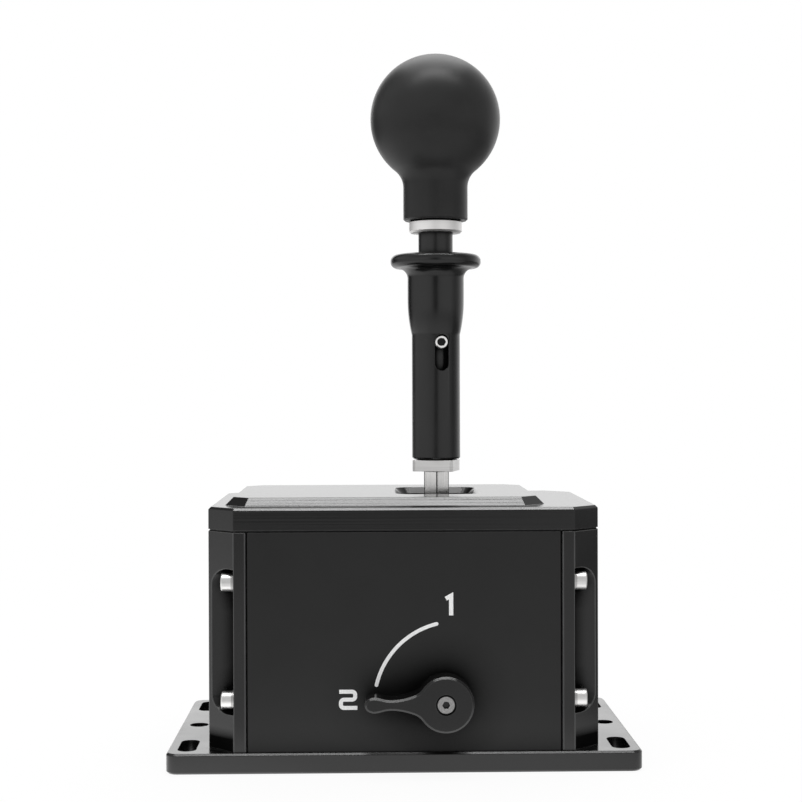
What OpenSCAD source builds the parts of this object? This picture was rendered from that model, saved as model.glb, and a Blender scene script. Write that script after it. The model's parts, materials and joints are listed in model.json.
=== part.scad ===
// Gear shifter for a driving simulator, with a lift collar under its ball knob
// and a two-position selector on its front panel.
// Frame: X to the right, Y to the back, Z up, origin at the bottom centre of the base plate.
// All lengths are in millimetres and all angles in degrees.

/* [Housing] */
// Width over the two side plates
body_w = 149; // [136:1:170]
// Depth from the front face to the rear face
body_d = 99; // [84:1:120]
// Height between the base plate and the lid
body_h = 82.8; // [80:0.2:110]
// Thickness of each side plate
side_t = 15; // [13:0.5:18]
// Width of side plate left beside each upright corner chamfer
screw_land = 4.8; // [4:0.2:6]
// Thickness of the front and rear panels
panel_t = 9; // [8:0.5:11]
// Gap between a panel and the side plate beside it
panel_gap = 0.3; // [0.1:0.05:0.6]
// Small chamfer on the long panel and side plate edges
edge_c = 0.4; // [0.2:0.1:0.8]

/* [Corner notches and side screws] */
// Height of each corner notch
notch_h = 54.8; // [50:0.2:66]
// Depth of each corner notch behind the face
notch_d = 9; // [8:0.2:10]
// Radius of the notch's inner corners
notch_r = 6.5; // [3:0.5:8]
// Distance between the two screws of a notch
side_screw_pitch = 44.6; // [36:0.2:46]
// Thread diameter of the side screws
side_screw_d = 4; // [3:0.5:5]
// Head diameter of the side screws
side_head_d = 7; // [5.5:0.1:8]
// Head height of the side screws
side_head_h = 4; // [3:0.1:5]
// Thickness of the spring washers
washer_t = 0.9; // [0.6:0.1:1.4]
// Length of thread in the panel
side_screw_bite = 10; // [8:1:14]

/* [Base plate] */
// Thickness of the base plate
base_t = 7.8; // [7:0.2:12]
// Width of the base plate beside each side plate
base_flange = 15.5; // [14:0.5:24]
// Base plate in front of the housing
front_lip = 1.5; // [0:0.5:10]
// Base plate behind the housing
back_lip = 5.5; // [2:0.5:20]
// Radius of the base plate's corners
base_corner_r = 4.5; // [2:0.5:8]
// Bevel on the base plate's edges
base_edge = 0.8; // [0.4:0.1:1.5]
// Width of the four mounting slots
slot_w = 7; // [5.5:0.5:8]
// Length of the four mounting slots
slot_len = 20; // [12:1:26]
// Distance from the side edge to the slots and holes
slot_inset = 7.4; // [6:0.2:9]
// Distance from the front or back edge to a slot's middle
slot_end = 14.8; // [12:0.2:20]
// Diameter of the two round mounting holes
hole_d = 7.4; // [5.5:0.1:8.5]

/* [Lid] */
// Thickness of the lid outside the raised field
lid_t = 9.1; // [8:0.1:12]
// Bevel on the lid's upper edge
lid_edge = 1; // [0.4:0.1:2]
// Height of the shadow gap under the lid
seam_h = 0.6; // [0.3:0.1:1.2]
// Depth of the shadow gap under the lid
seam_d = 1.6; // [0.8:0.1:3]
// Height of the raised field
field_h = 3.2; // [1.5:0.1:5]
// Lid left of the raised field's foot
field_left = 5.8; // [4:0.2:20]
// Lid right of the raised field's foot
field_right = 19.8; // [4:0.2:24]
// Lid in front of the raised field's foot
field_end = 9; // [5:0.5:11]
// Lid behind the raised field's foot
field_back = 4; // [3:0.5:11]
// Corner chamfer of the raised field at its foot
field_corner = 8; // [4:0.5:12]
// Width of the lever's opening
opening_w = 29; // [27:0.5:34]
// Depth of the lever's opening
opening_d = 41; // [36:0.5:44]
// Corner radius of the lever's opening
opening_r = 5; // [2:0.5:10]
// Flare round the top of the lever's opening
opening_flare = 2.5; // [1:0.1:3.5]

/* [Lever] */
// Lever axis right of the housing's middle
lever_x = 14.3; // [0:0.1:16]
// Lever axis in front of the housing's rear face
lever_setback = 47.5; // [40:0.5:50]
// Height of the tilting axes above the base plate
pivot_h = 52.6; // [50:0.2:56]
// Width across flats of the hexagonal lever rod
rod_af = 10; // [9:0.1:10.5]
// Bare rod between the lid and the lower lock nut
rod_bare = 8.1; // [6:0.1:20]
// Width across flats of the lower lock nut
nut_af = 16.6; // [15:0.1:19]
// Height of the lower lock nut
nut_h = 4.5; // [3:0.1:8]
// Width that the broken corners take off each flat of the lower lock nut
nut_corner = 1.2; // [0.4:0.1:3]
// Turn of the lower lock nut about the lever, clockwise from above
nut_turn = 14; // [0:1:89]
// Outer diameter of the lever tube
tube_d = 14; // [12:0.1:16]
// Diameter of the lock ring under the knob
ring_d = 21.5; // [18:0.1:25]
// Height of the lock ring under the knob
ring_h = 5; // [4:0.1:8]

/* [Knob] */
// Diameter of the ball
knob_d = 52.8; // [46:0.2:60]
// Height of the ball's centre above the lock ring
knob_rise = 41.2; // [38:0.2:48]
// Diameter of the knob's neck
neck_d = 26.2; // [22:0.2:30]
// Fillet between the ball and the neck
neck_fillet = 9; // [3:0.2:11]

/* [Lift collar] */
// Length of the collar
collar_len = 83; // [80:0.5:100]
// Lift of the collar
collar_lift = 8.5; // [5:0.5:9]
// Space between the lever tube and the collar for the spring
spring_space = 1.5; // [1.3:0.05:2]
// Wall of the collar's lower part round the spring
collar_wall = 1.3; // [1:0.05:2]
// How far the collar's upper part swells past its lower part
collar_swell = 1.65; // [0.5:0.05:3]
// How far the finger flange stands out past the collar
flange_out = 6.9; // [6:0.1:9]
// Thickness of the finger flange
flange_t = 5.4; // [4:0.2:8]
// Rounding of the flange's rim
flange_r = 2.4; // [1:0.1:2.8]
// Fillet under the flange
flange_fillet = 4.2; // [2:0.1:5.5]
// Straight upper part below the flange's fillet
collar_grip_h = 9; // [6:0.5:12]
// Height of the tapering part
collar_taper_h = 14; // [10:0.5:18]
// Turn of the guide slot to the right of the front
slot_turn = 12.5; // [0:0.5:40]
// Head diameter of the guide screw
guide_head_d = 5.5; // [4.5:0.1:6]

/* [Front selector] */
// Selector axis right of the housing's middle
selector_x = 15; // [0:0.5:30]
// Selector axis above the base plate
selector_h = 20.1; // [18:0.1:40]
// Diameter of the selector's disc
selector_disc_d = 21; // [18:0.5:26]
// Distance from the axis to the end of the selector's tip
selector_reach = 30.3; // [27:0.1:36]
// Diameter of the selector's round tip
selector_tip_d = 6; // [4.5:0.1:8]
// Width of the selector's arm at its narrowest
selector_neck_w = 3.7; // [2.5:0.1:4.5]
// Thickness of the selector
selector_t = 10; // [9:0.5:14]
// Bevel round the selector's front face
selector_bevel = 1.2; // [0.4:0.1:1.4]
// Space between the panel and the selector
selector_stand = 4; // [2.5:0.1:8]

/* [Hidden] */
$fn = 48;

// Clearances shared by the fits
over = 1;                // how far a cutter passes the face it opens
run_gap = 0.05;          // radial clearance of a running shaft
thread_gap = 0.05;       // radial clearance of a screw in its thread or a piece in its seat
bolt_gap = 0.2;          // radial clearance of a bolt in a plain hole
free_gap = 0.3;          // space between pieces that pass each other
end_gap = 0.5;           // space past the end of a screw or pin in its hole
hair = 0.01;             // keeps a full round from closing on itself
cap_socket = 0.75;       // hexagon socket of a cap screw in thread diameters
sunk_socket = 0.6;       // hexagon socket of a countersunk screw in thread diameters
root2 = sqrt(2);

// Housing
base_w = body_w + 2 * base_flange;
base_d = body_d + front_lip + back_lip;
body_front = -base_d / 2 + front_lip;
body_back = body_front + body_d;
body_y = (body_front + body_back) / 2;
body_x = body_w / 2;
inner_x = body_x - side_t;
panel_x = inner_x - panel_gap;
corner_c = side_t - screw_land;
land_x = body_x - corner_c;
body_mid = base_t + body_h / 2;
body_top = base_t + body_h;
lid_top = body_top + lid_t;
field_top = lid_top + field_h;
panel_in = body_front + panel_t;
rear_in = body_back - panel_t;
slot_x = base_w / 2 - slot_inset;
slot_y = base_d / 2 - slot_end;
side_screw_y = [body_front + panel_t / 2, body_back - panel_t / 2];
side_screw_z = [body_mid - side_screw_pitch / 2, body_mid + side_screw_pitch / 2];
outline = octagon(-body_x, body_x, body_front, body_back, corner_c);
seat_outline = octagon(-body_x + seam_d, body_x - seam_d, body_front + seam_d, body_back - seam_d,
    corner_c - seam_d * (2 - root2));
field_outline = octagon(-body_x + field_left, body_x - field_right,
    body_front + field_end, body_back - field_back, field_corner);

// Screws from below
head_sink = 0.2;
tie_d = 5;
tie_head_d = 10;
tie_bite = 6;
tie_inset = 24;
tie_x = body_x - side_t / 2;
tie_places = [for (sx = [-1, 1], y = [body_front + tie_inset, body_back - tie_inset]) [sx * tie_x, y]];
small_d = 4;
small_head_d = 8;
small_bite = 8;
gate_bite = 3.6;

// Tilting joint
lever_y = body_back - lever_setback;
pivot_z = base_t + pivot_h;
pivot = [lever_x, lever_y, pivot_z];
axle_d = 6;
hub_x = 8;
hub_y = 11.5;
hub_up = 20;
hub_down = 14;
yoke_room = 5.5;
yoke_wall = 6.5;
yoke_in_x = hub_x + yoke_room;
hub_gap = 0.5;
yoke_in_y = hub_y + hub_gap;
yoke_x = yoke_in_x + yoke_wall;
yoke_y = yoke_in_y + yoke_wall;
yoke_h = 14;
trunnion_d = 8;
spring_room = 4.5;
bush_flange_t = 1.5;
bush_flange_d = 16;
bush_d = 12;
bracket_t = 8;
bracket_in = yoke_x + spring_room + bush_flange_t;
bracket_out = bracket_in + bracket_t;
shaft_proud = 2;
trunnion_end = bracket_out + shaft_proud;
axle_front = 1.5;
bracket_foot = 24;
bracket_head_r = 14;
bracket_screw_y = 16;

// Gate under the lever
gate_x = 20;
gate_y = 22;
gate_h = 8;
gate_floor = 1.8;
gate_top = base_t + gate_h;
gate_column = 8.9;
gate_reach = 12.8;
gate_lane = 6.2;
gate_cross = 5.8;
gate_screw_x = 15;
gate_screw_y = 17;
detent_r = 3;
detent_depth = 0.7;
tip_d = 5;
tip_z = base_t + gate_floor + free_gap;
finger_d = 9;
finger_clear = 5.6;
finger_end = gate_top + finger_clear;
finger_stud_d = 8;
finger_stud_h = 8;
finger_roof = 5;
finger_bore_top = pivot_z - hub_down - finger_roof;
tip_in = 8.5;
tip_top = finger_end + tip_in;

// Lever stack
rod_r = rod_af / 2 / cos(30);
rod_up = 6;
rod_foot = pivot_z + rod_up;
rod_bore_d = 5.6;
nut_z = field_top + rod_bare;
tube_z = nut_z + nut_h;
spigot_step = 0.1;
spigot_d = rod_af - 2 * spigot_step;
spigot_h = 25;
collar_rest = 0.4;
collar_z = tube_z + collar_rest;
collar_top = collar_z + collar_len;
ring_z = collar_top + collar_lift + collar_rest;
knob_z = ring_z + ring_h;
knob_c = knob_z + knob_rise;
top_spigot_d = 12;
top_spigot_h = 24;
insert_d = 17;
insert_h = 28;

// Lift collar
collar_bore_d = tube_d + 2 * run_gap;
chamber_d = tube_d + 2 * spring_space;
collar_low_d = chamber_d + 2 * collar_wall;
collar_top_d = collar_low_d + 2 * collar_swell;
flange_d = collar_top_d + 2 * flange_out;
chamber_h = 30;
collar_bush_h = 5;
flange_z = collar_top - flange_t;
grip_z = flange_z - flange_fillet - collar_grip_h;
taper_z = grip_z - collar_taper_h;
taper_r = (pow(collar_taper_h, 2) + pow(collar_swell, 2)) / (2 * collar_swell);
guide_gap = 0.1;
guide_slot_w = guide_head_d + 2 * guide_gap;
guide_slot_top = taper_z;
guide_slot_len = collar_lift + guide_head_d + 2 * free_gap;
guide_z = guide_slot_top - free_gap - guide_head_d / 2;
guide_head_h = 2.5;
guide_d = 3;
guide_socket = 3;
clip_t = 1.2;
clip_in = 3;
clip_z = collar_z + collar_bush_h + chamber_h - clip_in;
clip_bite = 0.4;
clip_groove_d = tube_d - 2 * clip_bite;
clip_mouth = 3;
spring_wire = 0.8;
pin_d = 2.5;
pin_slot_w = pin_d + 2 * free_gap;
pin_drop = 2.5;
pin_z = flange_z - flange_fillet - pin_drop;
pin_cover = 1.5;
dowel_up = 14;
dowel_z = pivot_z + dowel_up;
dowel_over = 2;
lockout_d = 5;
lockout_up = 2.5;
lockout_foot = rod_foot + lockout_up;
lockout_top = 4;
lockout_end = 4;

// Front selector
selector_z = base_t + selector_h;
selector_back = body_front - selector_stand;
selector_front = selector_back - selector_t;
selector_drive_h = 3.6;
selector_screw_d = 4;
selector_head_d = 7;
selector_head_h = 4;
selector_sink_d = 8.2;
selector_sink_h = 4.4;
selector_shaft_d = 8;
drive_relief = 0.15;
selector_drive = selector_shaft_d / root2 - drive_relief;
selector_socket = 2.5;
selector_bite = 8;
selector_bush_d = 11;
selector_bush_flange_d = 15;
wave_t = 0.6;
cam_t = 6;
cam_r = 6.5;
cam_reach = 9;
cam_nose_r = 3.5;
cam_y = panel_in + wave_t;
shaft_end = cam_y + cam_t;
selector_neck_in = 9.6;
arm_narrow = selector_reach - selector_neck_in;
arm_root = 0.021;
arm_tip = 0.055;
arm_steps = 16;
bevel_steps = 4;

// Electronics
board_side = 4;
board_clear = 5;
board_ahead = 20;
board_behind = 1;
board_x = [-inner_x + board_side, lever_x - bracket_out - board_clear];
board_y = [lever_y - board_ahead, rear_in - board_behind];
board_rise = 8;
board_z = base_t + board_rise;
board_t = 1.6;
board_hole = 4;
board_hole_rear = 12;
board_bite = 5;
header_size = [16, 6, 7];
chip_size = [10, 10, 1.2];
stud_d = 3;
stud_bite = 4.5;
stud_floor = 2;
stud_af = 5.5;
board_screw_head_d = 5.6;
board_screw_head_h = 1.8;
usb_x = (board_x[0] + board_x[1]) / 2;
usb_w = 9;
usb_h = 3.3;
usb_wall = 0.35;
usb_tongue = [7, 0.7];
usb_rim = 2.5;
usb_face = rear_in + usb_rim;
usb_len = 7.5;
usb_z = board_z + board_t + usb_h / 2;
plug_w = 15;
plug_h = 9;
plug_r = 3;
magnet_t = 2.5;
magnet_d = 6;
select_magnet_d = 5;
sense_t = 1;
sense_w = 4;
air_gap = 0.6;
sensor_w = 24;
sensor_h = 14;
post_d = 4;
post_foot = 3;
post_pitch = 18;
sensor_rise = shaft_proud + magnet_t + air_gap + sense_t;
switch_size = [10, 6.4, 20];
switch_button = [2, 3, 3];
switch_screw_d = 2.3;
switch_screw_pitch = 9.5;
switch_bite = 5;
switch_head_d = 4.2;
switch_head_h = 1.8;
switch_x = selector_x - cam_reach - free_gap - switch_button[0] - switch_size[0];

// Shapes that repeat

// Corners of a rectangle with its four corners cut at 45 degrees
function octagon(x0, x1, y0, y1, c) = [
    [x0 + c, y0], [x1 - c, y0], [x1, y0 + c], [x1, y1 - c],
    [x1 - c, y1], [x0 + c, y1], [x0, y1 - c], [x0, y0 + c]
];

// Takes a 45 degree bevel of size c off the upper edge of a convex outline at height z
module bevel_cuts(points, z, c) {
    for (i = [0 : len(points) - 1]) {
        p0 = points[i];
        p1 = points[(i + 1) % len(points)];
        run = p1 - p0;
        translate([p0[0], p0[1], z])
            rotate([0, 0, atan2(run[1], run[0])])
                translate([-over * c, 0, 0])
                    rotate([90, 0, 90])
                        linear_extrude(norm(run) + 2 * over * c)
                            polygon([[-over, -c - over], [c + over, over], [-over, over]]);
    }
}

module rounded_rect(w, d, r) {
    square([w - 2 * r, d], center = true);
    square([w, d - 2 * r], center = true);
    for (sx = [-1, 1], sy = [-1, 1])
        translate([sx * (w / 2 - r), sy * (d / 2 - r)])
            circle(r);
}

// Rounded rectangle that grows by flare on every side over its height h
module flared_rect(w, d, r, flare, h) {
    for (sx = [-1, 1], sy = [-1, 1])
        translate([sx * (w / 2 - r), sy * (d / 2 - r), 0])
            cylinder(r1 = r, r2 = r + flare, h = h);
    rotate([90, 0, 0])
        linear_extrude(d - 2 * r, center = true)
            polygon([[-w / 2, 0], [w / 2, 0], [w / 2 + flare, h], [-w / 2 - flare, h]]);
    rotate([90, 0, 90])
        linear_extrude(w - 2 * r, center = true)
            polygon([[-d / 2, 0], [d / 2, 0], [d / 2 + flare, h], [-d / 2 - flare, h]]);
}

// Cylinder along +X or +Y from the origin
module x_cylinder(d, h) {
    rotate([0, 90, 0])
        cylinder(d = d, h = h);
}

module y_cylinder(d, h) {
    rotate([-90, 0, 0])
        cylinder(d = d, h = h);
}

// Countersunk screw standing on its head, or the hole for one with a radial gap
module countersunk(d, head_d, h, gap = 0) {
    cone = (head_d - d) / 2;
    cylinder(d1 = head_d + 2 * gap, d2 = d + 2 * gap, h = cone);
    cylinder(d = d + 2 * gap, h = h);
}

module countersunk_screw(d, head_d, h) {
    difference() {
        countersunk(d, head_d, h);
        translate([0, 0, -over])
            cylinder(d = sunk_socket * d / cos(30), h = over + (head_d - d) / 2, $fn = 6);
    }
}

// Socket cap screw along +Z, seated at the origin with its head below
module cap_screw(d, h, head_d, head_h, socket_af) {
    difference() {
        union() {
            cylinder(d = d, h = h);
            translate([0, 0, -head_h])
                rotate_extrude()
                    polygon([[0, 0], [head_d / 2 - edge_c, 0], [head_d / 2, edge_c], [head_d / 2, head_h],
                        [0, head_h]]);
        }
        translate([0, 0, -head_h - over])
            cylinder(d = socket_af / cos(30), h = head_h / 2 + over, $fn = 6);
    }
}

module ring(outer_d, inner_d, h) {
    difference() {
        cylinder(d = outer_d, h = h);
        translate([0, 0, -over])
            cylinder(d = inner_d, h = h + 2 * over);
    }
}

// Points of a helix about Z that climbs by rise
function helix(r, rise, turns, per_turn = 8) = [
    for (i = [0 : turns * per_turn])
        [r * cos(i * 360 / per_turn), r * sin(i * 360 / per_turn), rise * i / (turns * per_turn)]
];

// Round wire swept along a path of points, as one closed solid
module wire(path, d, sides = 6) {
    count = len(path);
    ahead = [for (i = [0 : count - 1]) path[min(i + 1, count - 1)] - path[max(i - 1, 0)]];
    rings = [
        for (i = [0 : count - 1])
            let (t = ahead[i] / norm(ahead[i]))
            let (flat = cross([0, 0, 1], t))
            let (u = flat / norm(flat))
            let (v = cross(t, u))
            for (k = [0 : sides - 1])
                path[i] + d / 2 * (u * cos(k * 360 / sides) + v * sin(k * 360 / sides))
    ];
    walls = [
        for (i = [0 : count - 2], k = [0 : sides - 1])
            let (a = i * sides + k)
            let (b = i * sides + (k + 1) % sides)
            each [[a, b + sides, b], [a, a + sides, b + sides]]
    ];
    last = (count - 1) * sides;
    caps = [for (k = [1 : sides - 2]) each [[0, k, k + 1], [last, last + k + 1, last + k]]];
    polyhedron(points = rings, faces = concat(walls, caps));
}

// Housing

module base_plate() {
    color("#2a2b2d")
        difference() {
            union() {
                translate([0, 0, base_edge])
                    linear_extrude(base_t - 2 * base_edge)
                        rounded_rect(base_w, base_d, base_corner_r);
                translate([0, 0, base_t - base_edge])
                    flared_rect(base_w, base_d, base_corner_r, -base_edge, base_edge);
                translate([0, 0, base_edge])
                    mirror([0, 0, 1])
                        flared_rect(base_w, base_d, base_corner_r, -base_edge, base_edge);
            }
            for (sx = [-1, 1]) {
                for (sy = [-1, 1])
                    translate([sx * slot_x, sy * slot_y, -over])
                        linear_extrude(base_t + 2 * over) {
                            square([slot_w, slot_len - slot_w], center = true);
                            for (end = [-1, 1])
                                translate([0, end * (slot_len - slot_w) / 2])
                                    circle(d = slot_w);
                        }
                translate([sx * slot_x, 0, -over])
                    cylinder(d = hole_d, h = base_t + 2 * over);
            }
            for (p = tie_places)
                screw_hole(p, tie_d, tie_head_d);
            for (p = concat(bracket_places(), gate_places()))
                screw_hole(p, small_d, small_head_d);
            for (p = board_places())
                translate([p[0], p[1], base_t - stud_bite - end_gap])
                    cylinder(d = stud_d + 2 * thread_gap, h = stud_bite + end_gap + over);
        }
}

module screw_hole(p, d, head_d) {
    translate([p[0], p[1], head_sink])
        countersunk(d, head_d, base_t + over, bolt_gap);
    translate([p[0], p[1], -over])
        cylinder(d = head_d + 2 * bolt_gap, h = over + head_sink);
}

function bracket_places() = [
    for (sx = [-1, 1], sy = [-1, 1])
        [lever_x + sx * (bracket_in + bracket_t / 2), lever_y + sy * bracket_screw_y]
];

function gate_places() = [
    for (sx = [-1, 1], sy = [-1, 1]) [lever_x + sx * gate_screw_x, lever_y + sy * gate_screw_y]
];

function board_places() = [
    for (x = [board_x[0] + board_hole, board_x[1] - board_hole],
         y = [board_y[0] + board_hole, board_y[1] - board_hole_rear]) [x, y]
];

// Notch in the front right corner, open to the front and to the side
module notch_cut() {
    deep = notch_d + over;
    translate([land_x, body_front - over, body_mid])
        rotate([90, 0, 90])
            linear_extrude(corner_c + over) {
                translate([0, -notch_h / 2])
                    square([deep - notch_r, notch_h]);
                translate([0, notch_r - notch_h / 2])
                    square([deep, notch_h - 2 * notch_r]);
                for (end = [-1, 1])
                    translate([deep - notch_r, end * (notch_h / 2 - notch_r)])
                        circle(notch_r);
            }
}

module side_plate() {
    difference() {
        translate([0, 0, base_t])
            linear_extrude(body_h)
                polygon([
                    [inner_x, body_front + edge_c], [inner_x + edge_c, body_front],
                    [land_x, body_front], [body_x, body_front + corner_c],
                    [body_x, body_back - corner_c], [land_x, body_back],
                    [inner_x + edge_c, body_back], [inner_x, body_back - edge_c]
                ]);
        notch_cut();
        translate([0, 2 * body_y, 0])
            mirror([0, 1, 0])
                notch_cut();
        for (y = side_screw_y, z = side_screw_z)
            translate([inner_x - over, y, z])
                x_cylinder(side_screw_d + 2 * bolt_gap, side_t);
        for (y = [body_front + tie_inset, body_back - tie_inset])
            translate([tie_x, y, base_t - over])
                cylinder(d = tie_d + 2 * bolt_gap, h = body_h + 2 * over);
    }
}

module right_side_plate() {
    color("#303133")
        side_plate();
}

module left_side_plate() {
    color("#303133")
        mirror([1, 0, 0])
            side_plate();
}

// Front panel without its own holes
module panel() {
    difference() {
        translate([0, 0, base_t])
            linear_extrude(body_h)
                polygon([
                    [-panel_x, body_front + edge_c], [-panel_x + edge_c, body_front],
                    [panel_x - edge_c, body_front], [panel_x, body_front + edge_c],
                    [panel_x, panel_in], [-panel_x, panel_in]
                ]);
        for (sx = [0, 1], z = side_screw_z)
            mirror([sx, 0, 0])
                translate([panel_x - side_screw_bite - over, side_screw_y[0], z])
                    x_cylinder(side_screw_d + 2 * thread_gap, side_screw_bite + 2 * over);
    }
}

module front_panel() {
    color("#232426")
        difference() {
            panel();
            translate([selector_x, body_front - over, selector_z])
                y_cylinder(selector_bush_d + 2 * thread_gap, panel_t + 2 * over);
            for (p = switch_places())
                translate([p[0], panel_in - switch_bite - end_gap, p[1]])
                    y_cylinder(switch_screw_d + 2 * thread_gap, switch_bite + end_gap + over);
        }
}

module rear_panel() {
    color("#232426")
        difference() {
            translate([0, 2 * body_y, 0])
                mirror([0, 1, 0])
                    panel();
            translate([usb_x, usb_face, usb_z])
                rotate([-90, 0, 0])
                    linear_extrude(body_back - usb_face + over)
                        rounded_rect(plug_w, plug_h, plug_r);
            translate([usb_x, rear_in - over, usb_z])
                rotate([-90, 0, 0])
                    linear_extrude(usb_rim + 2 * over)
                        rounded_rect(usb_w + 2 * free_gap, usb_h + 2 * free_gap, (usb_h + free_gap) / 2);
        }
}

module lid() {
    color("#2c2d2f")
        difference() {
            union() {
                difference() {
                    translate([0, 0, body_top])
                        linear_extrude(lid_t)
                            polygon(outline);
                    bevel_cuts(outline, lid_top, lid_edge);
                    translate([0, 0, body_top - over])
                        linear_extrude(seam_h + over)
                            difference() {
                                square([2 * base_w, 2 * base_d], center = true);
                                polygon(seat_outline);
                            }
                }
                difference() {
                    translate([0, 0, lid_top - lid_edge])
                        linear_extrude(field_h + lid_edge)
                            polygon(field_outline);
                    bevel_cuts(field_outline, field_top, field_h);
                }
            }
            translate([lever_x, lever_y, body_top - over])
                linear_extrude(field_top - body_top + over)
                    rounded_rect(opening_w, opening_d, opening_r);
            translate([lever_x, lever_y, field_top - opening_flare])
                flared_rect(opening_w, opening_d, opening_r, opening_flare + over, opening_flare + over);
            for (p = tie_places)
                translate([p[0], p[1], body_top - over])
                    cylinder(d = tie_d + 2 * thread_gap, h = tie_bite + over + end_gap);
        }
}

// Puts its child, drawn for the right front corner, at all eight side screw places
module at_side_screws() {
    for (sx = [0, 1], y = side_screw_y, z = side_screw_z)
        mirror([sx, 0, 0])
            translate([land_x, y, z])
                rotate([0, -90, 0])
                    children();
}

module side_screws() {
    color("#c9cacc")
        at_side_screws()
            translate([0, 0, -washer_t])
                cap_screw(side_screw_d, washer_t + screw_land + panel_gap + side_screw_bite,
                    side_head_d, side_head_h, cap_socket * side_screw_d);
}

module spring_washers() {
    color("#b4b6b8")
        at_side_screws()
            translate([0, 0, -washer_t])
                difference() {
                    ring(side_head_d + edge_c, side_screw_d + 2 * bolt_gap, washer_t);
                    translate([0, -edge_c, -over])
                        cube([side_head_d, 2 * edge_c, washer_t + 2 * over]);
                }
}

module tie_bolts() {
    color("#8e9093")
        for (p = tie_places)
            translate([p[0], p[1], head_sink])
                countersunk_screw(tie_d, tie_head_d, body_top + tie_bite - head_sink);
}

// Tilting joint

module bracket() {
    difference() {
        translate([bracket_in, 0, 0])
            rotate([90, 0, 90])
                linear_extrude(bracket_t) {
                    polygon([[-bracket_foot, base_t - pivot_z], [bracket_foot, base_t - pivot_z],
                        [bracket_head_r, 0], [-bracket_head_r, 0]]);
                    circle(bracket_head_r);
                }
        translate([bracket_in - over, 0, 0])
            x_cylinder(bush_d + 2 * thread_gap, bracket_t + 2 * over);
        for (sy = [-1, 1])
            translate([bracket_in + bracket_t / 2, sy * bracket_screw_y, base_t - pivot_z - over])
                cylinder(d = small_d + 2 * thread_gap, h = small_bite + over + end_gap);
        for (z = [-post_pitch / 2, post_pitch / 2])
            translate([bracket_out - post_foot - over, 0, z])
                x_cylinder(post_d / 2 + 2 * thread_gap, post_foot + 2 * over);
    }
}

module right_bracket() {
    color("#8b8d90")
        translate(pivot)
            bracket();
}

module left_bracket() {
    color("#8b8d90")
        translate(pivot)
            mirror([1, 0, 0])
                bracket();
}

module bracket_screws() {
    color("#8e9093")
        for (p = bracket_places())
            translate([p[0], p[1], head_sink])
                countersunk_screw(small_d, small_head_d, base_t + small_bite - head_sink);
}

module pivot_bushes() {
    color("#b08d4f")
        translate(pivot)
            for (sx = [0, 1])
                mirror([sx, 0, 0])
                    translate([bracket_in - bush_flange_t, 0, 0])
                        rotate([0, 90, 0])
                            difference() {
                                union() {
                                    cylinder(d = bush_flange_d, h = bush_flange_t);
                                    cylinder(d = bush_d, h = bush_flange_t + bracket_t);
                                }
                                translate([0, 0, -over])
                                    cylinder(d = trunnion_d + 2 * run_gap,
                                        h = bush_flange_t + bracket_t + 2 * over);
                            }
}

module yoke() {
    color("#77797c")
        translate(pivot)
            difference() {
                union() {
                    cube([2 * yoke_x, 2 * yoke_y, yoke_h], center = true);
                    translate([-trunnion_end, 0, 0])
                        x_cylinder(trunnion_d, 2 * trunnion_end);
                }
                cube([2 * yoke_in_x, 2 * yoke_in_y, yoke_h + 2 * over], center = true);
                translate([0, -yoke_y - over, 0])
                    y_cylinder(axle_d + 2 * run_gap, 2 * yoke_y + 2 * over);
                for (x = [-post_pitch / 2, post_pitch / 2])
                    translate([x, yoke_y - post_foot - over, 0])
                        y_cylinder(post_d / 2 + 2 * thread_gap, post_foot + 2 * over);
            }
}

// Torsion spring round the right trunnion
module return_spring() {
    wire_d = 1;
    turns = 2;
    rise = spring_room - wire_d - 2 * free_gap;
    echo(str("return_spring least gap ", rise / turns - wire_d));
    color("#9c9ea1")
        translate(pivot + [yoke_x + wire_d / 2 + free_gap, 0, 0])
            rotate([0, 90, 0])
                wire(helix((trunnion_d + wire_d) / 2 + 2 * free_gap, rise, turns), wire_d);
}

// Puts its child, drawn for the right end of the tilting axis, at the left end
module at_left_trunnion() {
    translate(pivot)
        mirror([1, 0, 0])
            children();
}

module shift_magnet() {
    color("#a7a9ad")
        at_left_trunnion()
            translate([trunnion_end, 0, 0])
                x_cylinder(magnet_d, magnet_t);
}

// Sensor board lying in XY with its chip below, centred on the magnet's axis
module sensor_board() {
    difference() {
        translate([-sensor_w / 2, -sensor_h / 2, 0])
            cube([sensor_w, sensor_h, board_t]);
        for (x = [-post_pitch / 2, post_pitch / 2])
            translate([x, 0, -over])
                cylinder(d = post_d / 2 + 2 * thread_gap, h = board_t + 2 * over);
    }
    translate([-sense_w / 2, -sense_w / 2, -sense_t])
        cube([sense_w, sense_w, sense_t]);
}

// Post that carries a sensor board: a shoulder between two thinner ends
module post(h) {
    cylinder(d = post_d, h = h);
    translate([0, 0, -post_foot])
        cylinder(d = post_d / 2, h = post_foot + h + board_t + end_gap);
}

module shift_sensor() {
    color("#1f5a3c")
        at_left_trunnion()
            translate([bracket_out + sensor_rise, 0, 0])
                rotate([0, 90, 0])
                    sensor_board();
}

module sensor_posts() {
    color("#b9a15e")
        at_left_trunnion()
            translate([bracket_out, 0, 0])
                rotate([0, 90, 0])
                    for (x = [-post_pitch / 2, post_pitch / 2])
                        translate([x, 0, 0])
                            post(sensor_rise);
}

module select_sensor() {
    color("#1f5a3c")
        translate(pivot + [0, yoke_y + sensor_rise, 0])
            rotate([-90, 0, 0])
                sensor_board();
}

module yoke_posts() {
    color("#b9a15e")
        translate(pivot + [0, yoke_y, 0])
            rotate([-90, 0, 0])
                for (x = [-post_pitch / 2, post_pitch / 2])
                    translate([x, 0, 0])
                        post(sensor_rise);
}

// Gate and the lever's lower end

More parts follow.
